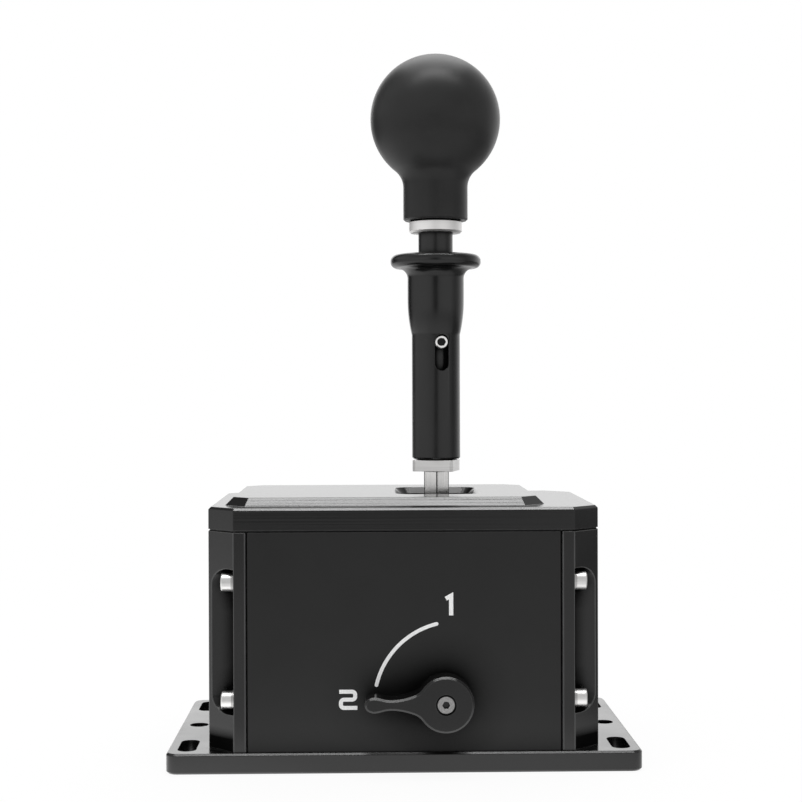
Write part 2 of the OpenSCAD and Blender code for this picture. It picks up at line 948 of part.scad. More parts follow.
module gate_block() {
    lanes = [-gate_column, 0, gate_column];
    pocket = gate_h - gate_floor;
    color("#6b6d70")
        translate([lever_x, lever_y, base_t])
            difference() {
                translate([-gate_x, -gate_y, 0])
                    cube([2 * gate_x, 2 * gate_y, gate_h]);
                translate([0, 0, gate_floor]) {
                    for (x = lanes)
                        translate([x - gate_lane / 2, -gate_reach, 0])
                            cube([gate_lane, 2 * gate_reach, pocket + over]);
                    translate([-gate_column, -gate_cross / 2, 0])
                        cube([2 * gate_column, gate_cross, pocket + over]);
                    for (x = lanes, y = [-gate_reach + gate_lane / 2, 0, gate_reach - gate_lane / 2])
                        translate([x, y, detent_r - detent_depth])
                            sphere(detent_r);
                }
                for (p = gate_places())
                    translate([p[0] - lever_x, p[1] - lever_y, -over])
                        cylinder(d = small_d + 2 * thread_gap, h = gate_bite + over + end_gap);
            }
}

module gate_screws() {
    color("#8e9093")
        for (p = gate_places())
            translate([p[0], p[1], head_sink])
                countersunk_screw(small_d, small_head_d, base_t + gate_bite - head_sink);
}

module gate_finger() {
    top = pivot_z - hub_down;
    color("#a3a5a8")
        translate([lever_x, lever_y, 0])
            difference() {
                union() {
                    translate([0, 0, finger_end])
                        cylinder(d = finger_d, h = top - finger_end);
                    cylinder_between(finger_stud_d, top, top + finger_stud_h);
                }
                cylinder_between(tip_d + 2 * run_gap, finger_end - over, finger_bore_top);
            }
}

module cylinder_between(d, z0, z1) {
    translate([0, 0, z0])
        cylinder(d = d, h = z1 - z0);
}

module finger_spring() {
    wire_d = 0.7;
    turns = 6;
    rise = finger_bore_top - tip_top - wire_d - 2 * free_gap;
    echo(str("finger_spring least gap ", rise / turns - wire_d));
    color("#9c9ea1")
        translate([lever_x, lever_y, tip_top + free_gap + wire_d / 2])
            wire(helix((tip_d - wire_d) / 2 - run_gap, rise, turns), wire_d);
}

module finger_tip() {
    color("#c2c4c7")
        translate([lever_x, lever_y, 0]) {
            cylinder_between(tip_d, tip_z + tip_d / 2, tip_top);
            translate([0, 0, tip_z + tip_d / 2])
                difference() {
                    sphere(d = tip_d);
                    translate([-tip_d, -tip_d, 0])
                        cube(2 * tip_d);
                }
        }
}

// Lever

module lever_hub() {
    color("#8f9194")
        translate(pivot)
            difference() {
                translate([-hub_x, -hub_y, -hub_down])
                    cube([2 * hub_x, 2 * hub_y, hub_down + hub_up]);
                translate([0, -hub_y - over, 0])
                    y_cylinder(axle_d + 2 * thread_gap, 2 * hub_y + 2 * over);
                translate([0, 0, rod_foot - pivot_z])
                    rotate([0, 0, 30])
                        cylinder(r = rod_r + 2 * thread_gap, h = hub_up, $fn = 6);
                translate([0, 0, -hub_down - over])
                    cylinder(d = finger_stud_d + 2 * thread_gap, h = finger_stud_h + over + end_gap);
                translate([-hub_x - over, -pin_slot_w / 2, dowel_z - pivot_z - pin_slot_w / 2])
                    cube([2 * hub_x + 2 * over, pin_slot_w, hub_up]);
            }
}

module select_axle() {
    color("#b7b9bc")
        translate(pivot - [0, yoke_y + axle_front, 0])
            y_cylinder(axle_d, 2 * yoke_y + axle_front + shaft_proud);
}

module select_magnet() {
    color("#a7a9ad")
        translate(pivot + [0, yoke_y + shaft_proud, 0])
            y_cylinder(select_magnet_d, magnet_t);
}

module lever_rod() {
    color("#b4b5b6")
        translate([lever_x, lever_y, 0])
            difference() {
                union() {
                    translate([0, 0, rod_foot])
                        rotate([0, 0, 30])
                            cylinder(r = rod_r, h = nut_z - rod_foot, $fn = 6);
                    cylinder_between(spigot_d, nut_z - over, tube_z + spigot_h);
                }
                cylinder_between(rod_bore_d, rod_foot - over, tube_z + spigot_h + over);
                translate([-rod_af, -pin_slot_w / 2, dowel_z - pin_slot_w / 2])
                    cube([2 * rod_af, pin_slot_w, collar_lift + pin_slot_w]);
            }
}

// Thin square nut
module lower_lock_nut() {
    half = nut_af / 2;
    color("#c4c5c7")
        translate([lever_x, lever_y, nut_z])
            difference() {
                rotate([0, 0, -nut_turn])
                    linear_extrude(nut_h)
                        polygon(octagon(-half, half, -half, half, nut_corner));
                translate([0, 0, -over])
                    cylinder(d = spigot_d + 2 * thread_gap, h = nut_h + 2 * over);
            }
}

module lever_tube() {
    color("#1d1e20")
        translate([lever_x, lever_y, 0])
            difference() {
                union() {
                    cylinder_between(tube_d, tube_z, ring_z);
                    cylinder_between(top_spigot_d, ring_z, knob_z + top_spigot_h);
                }
                cylinder_between(spigot_d + 2 * thread_gap, tube_z - over, tube_z + spigot_h + end_gap);
                cylinder_between(rod_bore_d, tube_z, pin_z + lockout_top + collar_lift + lockout_end);
                translate([-pin_slot_w / 2, -tube_d, pin_z - pin_slot_w / 2])
                    cube([pin_slot_w, 2 * tube_d, collar_lift + pin_slot_w]);
                translate([0, 0, clip_z])
                    ring(tube_d + over, clip_groove_d, clip_t);
                translate([0, 0, guide_z])
                    rotate([0, 0, slot_turn])
                        translate([0, -tube_d, 0])
                            y_cylinder(guide_d + 2 * thread_gap, tube_d);
            }
}

module spring_clip() {
    color("#8a8c8f")
        translate([lever_x, lever_y, clip_z])
            difference() {
                ring(chamber_d - 2 * free_gap, clip_groove_d + 2 * run_gap, clip_t);
                translate([0, -clip_mouth / 2, -over])
                    cube([chamber_d, clip_mouth, clip_t + 2 * over]);
            }
}

module guide_screw() {
    reach = (tube_d - rod_bore_d) / 2 - end_gap;
    color("#d0d1d3")
        translate([lever_x, lever_y, guide_z])
            rotate([0, 0, slot_turn])
                translate([0, -tube_d / 2, 0])
                    rotate([-90, 0, 0])
                        cap_screw(guide_d, reach, guide_head_d, guide_head_h, guide_socket);
}

// Turned ring with both rims broken
module upper_lock_ring() {
    rim = 0.7;
    inner = top_spigot_d / 2 + thread_gap;
    outer = ring_d / 2;
    color("#c8c9cb")
        translate([lever_x, lever_y, ring_z])
            rotate_extrude()
                polygon([[inner, 0], [outer - rim, 0], [outer, rim], [outer, ring_h - rim],
                    [outer - rim, ring_h], [inner, ring_h]]);
}

module knob_insert() {
    color("#b99a55")
        translate([lever_x, lever_y, knob_z])
            difference() {
                cylinder(d = insert_d, h = insert_h);
                translate([0, 0, -over])
                    cylinder(d = top_spigot_d + 2 * thread_gap, h = top_spigot_h + over + end_gap);
            }
}

// Ball on a straight neck, with a fillet tangent to both
module knob() {
    ball_r = knob_d / 2;
    neck_r = neck_d / 2;
    fillet_x = neck_r + neck_fillet;
    fillet_drop = sqrt(pow(ball_r + neck_fillet, 2) - pow(fillet_x, 2));
    touch = ball_r / (ball_r + neck_fillet);
    rim = 0.6;
    color("#141516")
        translate([lever_x, lever_y, knob_c])
            difference() {
                rotate_extrude()
                    intersection() {
                        union() {
                            circle(ball_r);
                            polygon([[0, -knob_rise], [neck_r - rim, -knob_rise],
                                [neck_r, -knob_rise + rim], [neck_r, 0], [0, 0]]);
                            difference() {
                                polygon([[0, -fillet_drop], [fillet_x, -fillet_drop],
                                    [fillet_x * touch, -fillet_drop * touch], [0, -fillet_drop * touch]]);
                                translate([fillet_x, -fillet_drop])
                                    circle(neck_fillet);
                            }
                        }
                        translate([0, -2 * knob_rise])
                            square(4 * knob_rise);
                    }
                translate([0, 0, -knob_rise - over])
                    cylinder(d = insert_d + 2 * thread_gap, h = insert_h + over + end_gap);
            }
}

// Lift collar

// Radius of the tapering part at height z
function taper_at(z) = collar_top_d / 2 - taper_r + sqrt(pow(taper_r, 2) - pow(grip_z - z, 2));

module collar() {
    low_r = collar_low_d / 2;
    top_r = collar_top_d / 2;
    rim_r = flange_d / 2;
    foot = 0.6;
    taper_steps = 8;
    core_top = flange_z + flange_t / 2;
    taper = [
        for (i = [0 : taper_steps])
            let (z = taper_z + i * collar_taper_h / taper_steps)
            [taper_at(z), z]
    ];
    color("#1b1c1e")
        translate([lever_x, lever_y, 0])
            difference() {
                rotate_extrude() {
                    polygon(concat(
                        [[0, collar_z], [low_r - foot, collar_z], [low_r, collar_z + foot]],
                        taper,
                        [[top_r, core_top], [0, core_top]]));
                    translate([0, flange_z])
                        square([rim_r - flange_r, flange_t]);
                    translate([0, flange_z + flange_r])
                        square([rim_r, flange_t - 2 * flange_r]);
                    for (z = [flange_z + flange_r, collar_top - flange_r])
                        translate([rim_r - flange_r, z])
                            circle(flange_r);
                    difference() {
                        translate([0, flange_z - flange_fillet])
                            square([top_r + flange_fillet, flange_fillet]);
                        translate([top_r + flange_fillet, flange_z - flange_fillet])
                            circle(flange_fillet);
                    }
                }
                cylinder_between(collar_bore_d, collar_z - over, collar_top + over);
                cylinder_between(chamber_d, collar_z - over, collar_z + collar_bush_h + chamber_h);
                translate([0, 0, guide_slot_top - guide_slot_len])
                    rotate([0, 0, slot_turn])
                        rotate([90, 0, 0])
                            linear_extrude(collar_top_d) {
                                translate([-guide_slot_w / 2, guide_slot_w / 2])
                                    square([guide_slot_w, guide_slot_len - guide_slot_w]);
                                for (z = [guide_slot_w / 2, guide_slot_len - guide_slot_w / 2])
                                    translate([0, z])
                                        circle(d = guide_slot_w);
                            }
                translate([0, pin_cover - top_r, pin_z])
                    y_cylinder(pin_d + 2 * thread_gap, collar_top_d);
            }
}

module collar_bush() {
    color("#a8894e")
        translate([lever_x, lever_y, collar_z])
            ring(chamber_d - 2 * thread_gap, collar_bore_d, collar_bush_h);
}

module collar_spring() {
    turns = 7;
    foot = collar_z + collar_bush_h + free_gap;
    rise = clip_z - foot - spring_wire - free_gap;
    echo(str("collar_spring least gap ", rise / turns - spring_wire));
    color("#9c9ea1")
        translate([lever_x, lever_y, foot + spring_wire / 2])
            wire(helix((tube_d + chamber_d) / 4, rise, turns, per_turn = 16), spring_wire);
}

module lockout_rod() {
    color("#a6a8ab")
        translate([lever_x, lever_y, 0])
            difference() {
                cylinder_between(lockout_d, lockout_foot, pin_z + lockout_top);
                translate([0, -lockout_d, pin_z])
                    y_cylinder(pin_d + 2 * thread_gap, 2 * lockout_d);
                translate([-lockout_d, 0, dowel_z])
                    x_cylinder(pin_d + 2 * thread_gap, 2 * lockout_d);
            }
}

module lockout_pins() {
    dowel = 2 * (hub_x + dowel_over);
    color("#b7b9bc")
        translate([lever_x, lever_y, 0]) {
            translate([0, pin_cover + thread_gap - collar_top_d / 2, pin_z])
                y_cylinder(pin_d, collar_top_d - pin_cover - end_gap);
            translate([-dowel / 2, 0, dowel_z])
                x_cylinder(pin_d, dowel);
        }
}

// Front selector

// Half width of the selector's arm at distance s from the axis
function arm_half(s) = selector_neck_w / 2
    + (s < arm_narrow ? arm_root : arm_tip) * pow(s - arm_narrow, 2);

module selector_outline(inset = 0) {
    tip_c = selector_reach - selector_tip_d / 2;
    s0 = selector_disc_d / 4;
    arm = [for (i = [0 : arm_steps]) s0 + (tip_c - selector_tip_d / 4 - s0) * i / arm_steps];
    circle(d = selector_disc_d - 2 * inset);
    translate([-tip_c, 0])
        circle(d = selector_tip_d - 2 * inset);
    polygon(concat(
        [for (s = arm) [-s, arm_half(s) - inset]],
        [for (i = [arm_steps : -1 : 0]) [-arm[i], inset - arm_half(arm[i])]]));
}

module selector_lever() {
    color("#2b2c2e")
        translate([selector_x, selector_back, selector_z])
            rotate([90, 0, 0])
                difference() {
                    for (turn = [0 : 90 / bevel_steps : 90])
                        linear_extrude(selector_t - selector_bevel * (1 - sin(turn)))
                            selector_outline(selector_bevel * (1 - cos(turn)));
                    translate([0, 0, selector_t - selector_sink_h])
                        cylinder(d = selector_sink_d, h = selector_sink_h + over);
                    translate([0, 0, -over])
                        cylinder(d = selector_screw_d + 2 * bolt_gap, h = selector_t + over);
                    square_drive(selector_drive + 2 * thread_gap, selector_drive_h + thread_gap);
                }
}

// Square end of the selector shaft, or its socket, rising from the origin
module square_drive(w, h) {
    translate([-w / 2, -w / 2, -over])
        cube([w, w, h + over]);
}

module selector_screw() {
    color("#c9cacc")
        translate([selector_x, selector_front + selector_sink_h, selector_z])
            rotate([-90, 0, 0])
                cap_screw(selector_screw_d, selector_t - selector_sink_h + selector_bite,
                    selector_head_d, selector_head_h, selector_socket);
}

module selector_shaft() {
    color("#a6a8ab")
        translate([selector_x, selector_back, selector_z])
            rotate([90, 0, 0])
                difference() {
                    union() {
                        cylinder_between(selector_shaft_d, selector_back - shaft_end, 0);
                        square_drive(selector_drive, selector_drive_h);
                    }
                    cylinder_between(selector_screw_d + 2 * thread_gap,
                        -selector_bite - end_gap, selector_t);
                }
}

module selector_bush() {
    color("#3a3b3d")
        translate([selector_x, 0, selector_z])
            difference() {
                union() {
                    translate([0, selector_back + free_gap, 0])
                        y_cylinder(selector_bush_flange_d, selector_stand - free_gap);
                    translate([0, body_front - over, 0])
                        y_cylinder(selector_bush_d, panel_t + over);
                }
                translate([0, selector_back - over, 0])
                    y_cylinder(selector_shaft_d + 2 * run_gap, selector_stand + panel_t + 2 * over);
            }
}

module selector_cam() {
    color("#8f9194")
        translate([selector_x, cam_y, selector_z])
            rotate([90, 0, 0])
                translate([0, 0, -cam_t])
                    difference() {
                        linear_extrude(cam_t) {
                            circle(cam_r);
                            translate([cam_nose_r - cam_reach, 0])
                                circle(cam_nose_r);
                        }
                        cylinder_between(selector_shaft_d + 2 * thread_gap, -over, cam_t + over);
                    }
}

module wave_washer() {
    color("#9c9ea1")
        translate([selector_x, panel_in, selector_z])
            rotate([-90, 0, 0])
                ring(cam_r * 2, selector_shaft_d + 2 * bolt_gap, wave_t);
}

// Electronics

function switch_places() = [
    for (sz = [-1, 1]) [switch_x + switch_size[0] / 2, selector_z + sz * switch_screw_pitch / 2]
];

module mode_switch() {
    color("#202124")
        difference() {
            union() {
                translate([switch_x, panel_in, selector_z - switch_size[2] / 2])
                    cube(switch_size);
                translate([switch_x + switch_size[0], panel_in + switch_size[1] / 2, selector_z])
                    translate([0, -switch_button[1] / 2, -switch_button[2] / 2])
                        cube(switch_button);
            }
            for (p = switch_places())
                translate([p[0], panel_in - over, p[1]])
                    y_cylinder(switch_screw_d + 2 * bolt_gap, switch_size[1] + 2 * over);
        }
}

module switch_screws() {
    color("#c0c2c4")
        for (p = switch_places())
            translate([p[0], panel_in + switch_size[1], p[1]])
                rotate([90, 0, 0])
                    cap_screw(switch_screw_d, switch_size[1] + switch_bite, switch_head_d, switch_head_h,
                        cap_socket * switch_screw_d);
}

module main_board() {
    header_y = board_y[0] + board_hole + board_screw_head_d / 2 + end_gap;
    chip_y = (board_y[0] + board_y[1] - chip_size[1]) / 2;
    color("#1f5a3c") {
        difference() {
            translate([board_x[0], board_y[0], board_z])
                cube([board_x[1] - board_x[0], board_y[1] - board_y[0], board_t]);
            for (p = board_places())
                translate([p[0], p[1], board_z - over])
                    cylinder(d = stud_d + 2 * bolt_gap, h = board_t + 2 * over);
        }
        translate([usb_x - chip_size[0] / 2, chip_y, board_z + board_t])
            cube(chip_size);
        translate([usb_x - header_size[0] / 2, header_y, board_z + board_t])
            cube(header_size);
    }
}

module board_standoffs() {
    color("#b9a15e")
        for (p = board_places())
            translate([p[0], p[1], 0])
                difference() {
                    union() {
                        cylinder_between(stud_d, base_t - stud_bite, base_t + over);
                        translate([0, 0, base_t])
                            cylinder(d = stud_af / cos(30), h = board_z - base_t, $fn = 6);
                    }
                    cylinder_between(stud_d + 2 * thread_gap, base_t + stud_floor, board_z + over);
                }
}

module board_screws() {
    color("#c0c2c4")
        for (p = board_places())
            translate([p[0], p[1], board_z + board_t])
                mirror([0, 0, 1])
                    cap_screw(stud_d, board_t + board_bite, board_screw_head_d, board_screw_head_h,
                        cap_socket * stud_d);
}

module usb_socket() {
    color("#b0b2b5")
        translate([usb_x, usb_face, usb_z])
            rotate([90, 0, 0])
                difference() {
                    linear_extrude(usb_len + usb_rim)
                        rounded_rect(usb_w, usb_h, usb_h / 2 - hair);
                    translate([0, 0, -over])
                        linear_extrude(usb_len + over)
                            difference() {
                                rounded_rect(usb_w - 2 * usb_wall, usb_h - 2 * usb_wall,
                                    usb_h / 2 - usb_wall - hair);
                                square(usb_tongue, center = true);
                            }
                }
}

base_plate();
left_side_plate();
right_side_plate();
front_panel();
rear_panel();
lid();
side_screws();
spring_washers();
tie_bolts();
left_bracket();
right_bracket();
bracket_screws();
pivot_bushes();
gate_block();
gate_screws();
main_board();
board_standoffs();
board_screws();
usb_socket();
shift_sensor();
sensor_posts();
selector_bush();
mode_switch();
switch_screws();
yoke();
return_spring();
shift_magnet();
select_sensor();
yoke_posts();
lever_hub();
select_axle();
select_magnet();
lever_rod();
lower_lock_nut();
lever_tube();
spring_clip();
guide_screw();
upper_lock_ring();
knob_insert();
knob();
gate_finger();
finger_spring();
finger_tip();
collar();
collar_bush();
collar_spring();
lockout_rod();
lockout_pins();
selector_lever();
selector_screw();
selector_shaft();
selector_cam();
wave_washer();
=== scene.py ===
import json
import math

import bmesh
import bpy
from mathutils import Matrix, Vector

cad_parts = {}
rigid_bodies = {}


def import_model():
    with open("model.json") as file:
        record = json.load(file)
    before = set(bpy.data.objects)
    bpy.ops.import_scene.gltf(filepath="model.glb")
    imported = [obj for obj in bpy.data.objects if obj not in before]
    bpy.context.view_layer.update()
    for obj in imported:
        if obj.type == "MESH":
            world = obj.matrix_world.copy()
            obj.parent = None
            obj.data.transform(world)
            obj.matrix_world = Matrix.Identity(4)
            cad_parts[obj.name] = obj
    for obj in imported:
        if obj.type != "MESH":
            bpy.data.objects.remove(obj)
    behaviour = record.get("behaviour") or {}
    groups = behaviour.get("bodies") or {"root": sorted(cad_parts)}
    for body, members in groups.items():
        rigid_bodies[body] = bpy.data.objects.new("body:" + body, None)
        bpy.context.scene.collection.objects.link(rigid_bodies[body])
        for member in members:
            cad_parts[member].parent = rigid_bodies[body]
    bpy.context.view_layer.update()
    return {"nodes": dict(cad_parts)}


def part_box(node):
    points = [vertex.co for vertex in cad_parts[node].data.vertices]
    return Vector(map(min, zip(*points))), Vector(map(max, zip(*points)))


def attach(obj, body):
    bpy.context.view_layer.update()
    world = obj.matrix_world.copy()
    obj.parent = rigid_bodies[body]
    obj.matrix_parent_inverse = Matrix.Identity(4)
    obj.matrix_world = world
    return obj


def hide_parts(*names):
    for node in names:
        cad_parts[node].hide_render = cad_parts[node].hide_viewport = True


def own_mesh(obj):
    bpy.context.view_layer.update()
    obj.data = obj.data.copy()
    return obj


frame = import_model()
nodes = frame["nodes"]

MM = 0.001
# Points closer than this are one point
WELD = 0.001 * MM


# Materials

# Most of a noise lies between these
NOISE_LOW, NOISE_HIGH = 0.3, 0.7
# How a noise is drawn out into marks: it is long along an axis with a small factor
EVEN = (1.0, 1.0, 1.0)
ALONG_X = (0.004, 1.0, 1.0)
ALONG_X_SHORT = (0.02, 1.0, 1.0)
ALONG_Y = (1.0, 0.02, 1.0)
ALONG_Z = (1.0, 1.0, 0.01)
AROUND_Z = (0.01, 0.01, 1.0)
# Specular level of a surface that nothing shelters
SHINE = 0.5


def grey(level, warmth=0.0):
    return (level * (1 + warmth), level, level * (1 - warmth))


class Shading:
    """Nodes added to the tree of a material or of the world."""

    def __init__(self, tree):
        self.tree = tree

    def add(self, kind, **settings):
        node = self.tree.nodes.new("ShaderNode" + kind)
        for key, value in settings.items():
            setattr(node, key, value)
        return node

    def join(self, output, socket):
        self.tree.links.new(output, socket)

    def feed(self, value, socket):
        """Join an output to a socket, or set the socket to a plain value."""
        if isinstance(value, bpy.types.NodeSocket):
            self.join(value, socket)
        else:
            socket.default_value = value

    def operate(self, kind, operation, values):
        node = self.add(kind, operation=operation)
        for value, socket in zip(values, node.inputs):
            self.feed(value, socket)
        return node.outputs

    def compute(self, operation, *values):
        return self.operate("Math", operation, values)["Value"]

    def vectors(self, operation, *values):
        """The outputs of an operation on vectors."""
        return self.operate("VectorMath", operation, values)

    def parts_of(self, vector):
        """The X, Y and Z of a vector."""
        node = self.add("SeparateXYZ")
        self.join(vector, node.inputs["Vector"])
        return node.outputs

    def remap(self, value, lowest, highest, low=0.0, high=1.0):
        """Carry the range from lowest to highest over to low to high, and stop at its ends."""
        node = self.add("MapRange")
        numbers = {"From Min": lowest, "From Max": highest, "To Min": low, "To Max": high}
        for socket, number in numbers.items():
            node.inputs[socket].default_value = number
        self.join(value, node.inputs["Value"])
        return node.outputs["Result"]

    def ramp(self, value, stops):
        """A colour by value, from stops of a place and a colour each."""
        node = self.add("ValToRGB")
        elements = node.color_ramp.elements
        while len(elements) < len(stops):
            elements.new(1.0)
        for element, (place, shade) in zip(elements, stops):
            element.position = place
            element.color = (*shade, 1.0)
        self.join(value, node.inputs["Fac"])
        return node.outputs["Color"]

    def mix(self, factor, first, second, blend_type="MIX"):
        node = self.add("Mix", data_type="RGBA", blend_type=blend_type)
        for value, socket in ((factor, "Factor"), (first, "A"), (second, "B")):
            self.feed(value, node.inputs[socket])
        return node.outputs["Result"]


class Finish(Shading):
    """A material with one Principled surface and textures laid in the part's own space."""

    def __init__(self, name, **sockets):
        self.material = bpy.data.materials.new(name)
        self.material.use_nodes = True
        super().__init__(self.material.node_tree)
        self.surface = self.tree.nodes["Principled BSDF"]
        self.space = self.add("TexCoord").outputs["Object"]
        self.relief = None
        for socket, value in sockets.items():
            self.surface.inputs[socket].default_value = value

    def noise(self, scale, detail=2.0, stretch=EVEN):
        """Noise of about `scale` cells a metre, fewer along an axis whose factor is small."""
        mapping = self.add("Mapping")
        mapping.inputs["Scale"].default_value = stretch
        self.join(self.space, mapping.inputs["Vector"])
        texture = self.add("TexNoise")
        texture.inputs["Scale"].default_value = scale
        texture.inputs["Detail"].default_value = detail
        self.join(mapping.outputs["Vector"], texture.inputs["Vector"])
        return texture.outputs["Fac"]

    def vary(self, socket, value, low, high):
        """Let a surface socket run from low to high over the middle of a noise."""
        self.join(self.remap(value, NOISE_LOW, NOISE_HIGH, low, high), self.surface.inputs[socket])

    def paint(self, colour):
        self.colour = colour
        self.join(colour, self.surface.inputs["Base Color"])

    def tint(self, value, dark, light):
        """Let the colour run from dark to light over the middle of a noise."""
        self.paint(self.ramp(value, ((NOISE_LOW, dark), (NOISE_HIGH, light))))

    def bump(self, height, strength, depth):
        node = self.add("Bump")
        node.inputs["Strength"].default_value = strength
        node.inputs["Distance"].default_value = depth
        self.join(height, node.inputs["Height"])
        if self.relief:
            self.join(self.relief, node.inputs["Normal"])
        self.relief = node.outputs["Normal"]
        self.join(self.relief, self.surface.inputs["Normal"])

    def worn_edges(self, radius, shade, amount):
        """Lay a paler colour along the edges, broken up by noise."""
        rounded = self.add("Bevel", samples=4)
        rounded.inputs["Radius"].default_value = radius
        normal = self.add("NewGeometry").outputs["Normal"]
        agree = self.vectors("DOT_PRODUCT", rounded.outputs["Normal"], normal)["Value"]
        edge = self.remap(agree, 0.90, 0.99, amount, 0.0)
        patch = self.remap(self.noise(900.0), 0.35, 0.6, 0.3, 1.0)
        self.paint(self.mix(self.compute("MULTIPLY", edge, patch), self.colour, (*shade, 1.0)))

    def openness(self, reach):
        """How open the surface lies to what is within reach, from 0 to 1."""
        node = self.add("AmbientOcclusion", samples=8)
        node.inputs["Distance"].default_value = reach
        return node.outputs["AO"]

    def shelter(self, reach, closed, opened, share=None):
        """Take the shine off, as painted shade, where the surface lies close behind others, and keep a share
        of the rest.
        """
        shine = self.remap(self.openness(reach), closed, opened, 0.0, SHINE)
        if share:
            shine = self.compute("MULTIPLY", shine, share)
        self.join(shine, self.surface.inputs["Specular IOR Level"])

    def crevices(self, reach, shade):
        """Darken the colour, a painted shade, where the surface lies deep between others, as in a screw's
        socket.
        """
        opened = self.remap(self.openness(reach), 0.30, 0.62)
        self.paint(self.mix(opened, (*shade, 1.0), self.colour))

    def facing(self):
        """The X, Y and Z of the direction that the surface faces."""
        return self.parts_of(self.add("NewGeometry").outputs["True Normal"])


# A socket's walls start this far behind the head's face
SOCKET_FROM = 0.05 * MM
# Painted shade inside a screw's socket
SOCKET_SHADE = grey(0.02)

# Heights over the base plate up to which a side plate's foot is black, a painted shade, and from which it is
# clear
FOOT_DARK = 4.8 * MM
FOOT_CLEAR = 8.8 * MM


def black_plate(name, level, roughness, ior=1.5):
    """Satin black anodising on machined plate, with a fine blasted grain."""
    finish = Finish(name, IOR=ior)
    cloud = finish.noise(65.0, 3.0)
    finish.tint(cloud, grey(0.8 * level), grey(1.2 * level))
    finish.worn_edges(0.35 * MM, grey(0.10), 0.5)
    finish.vary("Roughness", cloud, roughness - 0.02, roughness + 0.04)
    finish.bump(finish.noise(7000.0), 0.10, 0.02 * MM)
    return finish


def black_side(name, level, roughness):
    """Black plate that goes dark, a painted shade, in its notches and, where it faces the base plate's ends,
    at its foot.
    """
    finish = black_plate(name, level, roughness)
    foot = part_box("base_plate")[1].z
    height = finish.parts_of(finish.space)["Z"]
    risen = finish.remap(height, foot + FOOT_DARK, foot + FOOT_CLEAR)
    ahead = finish.remap(finish.compute("ABSOLUTE", finish.facing()["X"]), 0.3, 0.5, 1.0, 0.0)
    finish.shelter(9.0 * MM, 0.52, 0.84, finish.compute("MAXIMUM", risen, ahead))
    return finish


def black_panel(name, level, roughness):
    """Black plate that turns matt black, a painted shade, in the shelter of what stands in front of it."""
    finish = black_plate(name, level, roughness, 1.45)
    finish.shelter(18.0 * MM, 0.5, 0.95)
    return finish


def black_lid(name, level, roughness, cut_roughness):
    """Black plate whose bevels have their own roughness, with the cutter's streaks at front and rear."""
    finish = black_plate(name, level, roughness)
    facing = finish.facing()
    sloped = finish.remap(facing["Z"], 0.97, 0.93)
    ahead = finish.remap(finish.compute("ABSOLUTE", facing["X"]), 0.1, 0.3, 1.0, 0.0)
    lines = finish.noise(1500.0, 2.0, ALONG_X)
    streaks = finish.compute("MULTIPLY", lines, finish.compute("MULTIPLY", sloped, ahead))
    finish.bump(streaks, 1.0, 0.03 * MM)
    cut = finish.compute("MULTIPLY", sloped, finish.remap(facing["Z"], 0.1, 0.2))
    cut_finish = finish.remap(cut, 0.0, 1.0, roughness, cut_roughness)
    finish.join(cut_finish, finish.surface.inputs["Roughness"])
    return finish


def black_turned(name, level, roughness):
    """Black anodising over fine turning marks."""
    finish = Finish(name, IOR=1.5)
    cloud = finish.noise(90.0, 3.0)
    finish.tint(cloud, grey(0.8 * level), grey(1.2 * level))
    finish.worn_edges(0.3 * MM, grey(0.10), 0.4)
    finish.vary("Roughness", cloud, roughness - 0.02, roughness + 0.03)
    # Painted shade: the shine goes where the surface lies close behind others, as inside the collar's slot
    finish.shelter(5.0 * MM, 0.46, 0.78)
    finish.bump(finish.noise(5000.0, 2.0, AROUND_Z), 0.08, 0.02 * MM)
    finish.bump(finish.noise(9000.0), 0.05, 0.01 * MM)
    return finish


def black_moulded(name, level, roughness):
    """Soft satin black of the ball knob."""
    finish = Finish(name, IOR=1.3)
    cloud = finish.noise(55.0, 4.0)
    finish.tint(cloud, grey(0.85 * level), grey(1.15 * level))
    finish.vary("Roughness", cloud, roughness - 0.02, roughness + 0.04)
    finish.bump(finish.noise(6000.0), 0.06, 0.015 * MM)
    return finish


def metal(name, light, roughness, marks, depth=0.12, grain=6000.0, shade=0.86):
    """Bare metal with the marks of its making, whose grain is darker by the factor shade."""
    finish = Finish(name, Metallic=1.0)
    lines = finish.noise(grain, 3.0, marks)
    cloud = finish.noise(120.0, 3.0)
    finish.tint(lines, tuple(shade * part for part in light), light)
    # Painted shade in the sockets and in the gaps between parts
    finish.crevices(2.0 * MM, grey(0.015))
    finish.vary("Roughness", cloud, roughness - 0.05, roughness + 0.06)
    finish.bump(lines, depth, 0.02 * MM)
    return finish


def socket_steel(name, node, reach, light, roughness):
    """Bright steel whose hexagon socket, within reach of the axis behind the head's face, is painted
    near-black, a painted shade.
    """
    finish = metal(name, light, roughness, EVEN, 0.06)
    low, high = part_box(node)
    face = ((low.x + high.x) / 2, low.y + SOCKET_FROM, (low.z + high.z) / 2)
    offset = finish.parts_of(finish.vectors("SUBTRACT", finish.space, face)["Vector"])
    across = finish.add("CombineXYZ")
    for axis in ("X", "Z"):
        finish.join(offset[axis], across.inputs[axis])
    radius = finish.vectors("LENGTH", across.outputs["Vector"])["Value"]
    within = finish.compute("LESS_THAN", radius, reach)
    behind = finish.compute("GREATER_THAN", offset["Y"], 0.0)
    inside = finish.compute("MULTIPLY", within, behind)
    # The socket is painted near-black, a painted shade
    finish.paint(finish.mix(inside, finish.colour, (*SOCKET_SHADE, 1.0)))
    return finish


def moulded(name, dark, light, roughness):
    """Plain moulded plastic or lacquered board."""
    finish = Finish(name, IOR=1.47)
    cloud = finish.noise(240.0, 4.0)
    finish.tint(cloud, dark, light)
    finish.vary("Roughness", cloud, roughness - 0.05, roughness + 0.05)
    finish.bump(finish.noise(4000.0), 0.10, 0.02 * MM)
    return finish


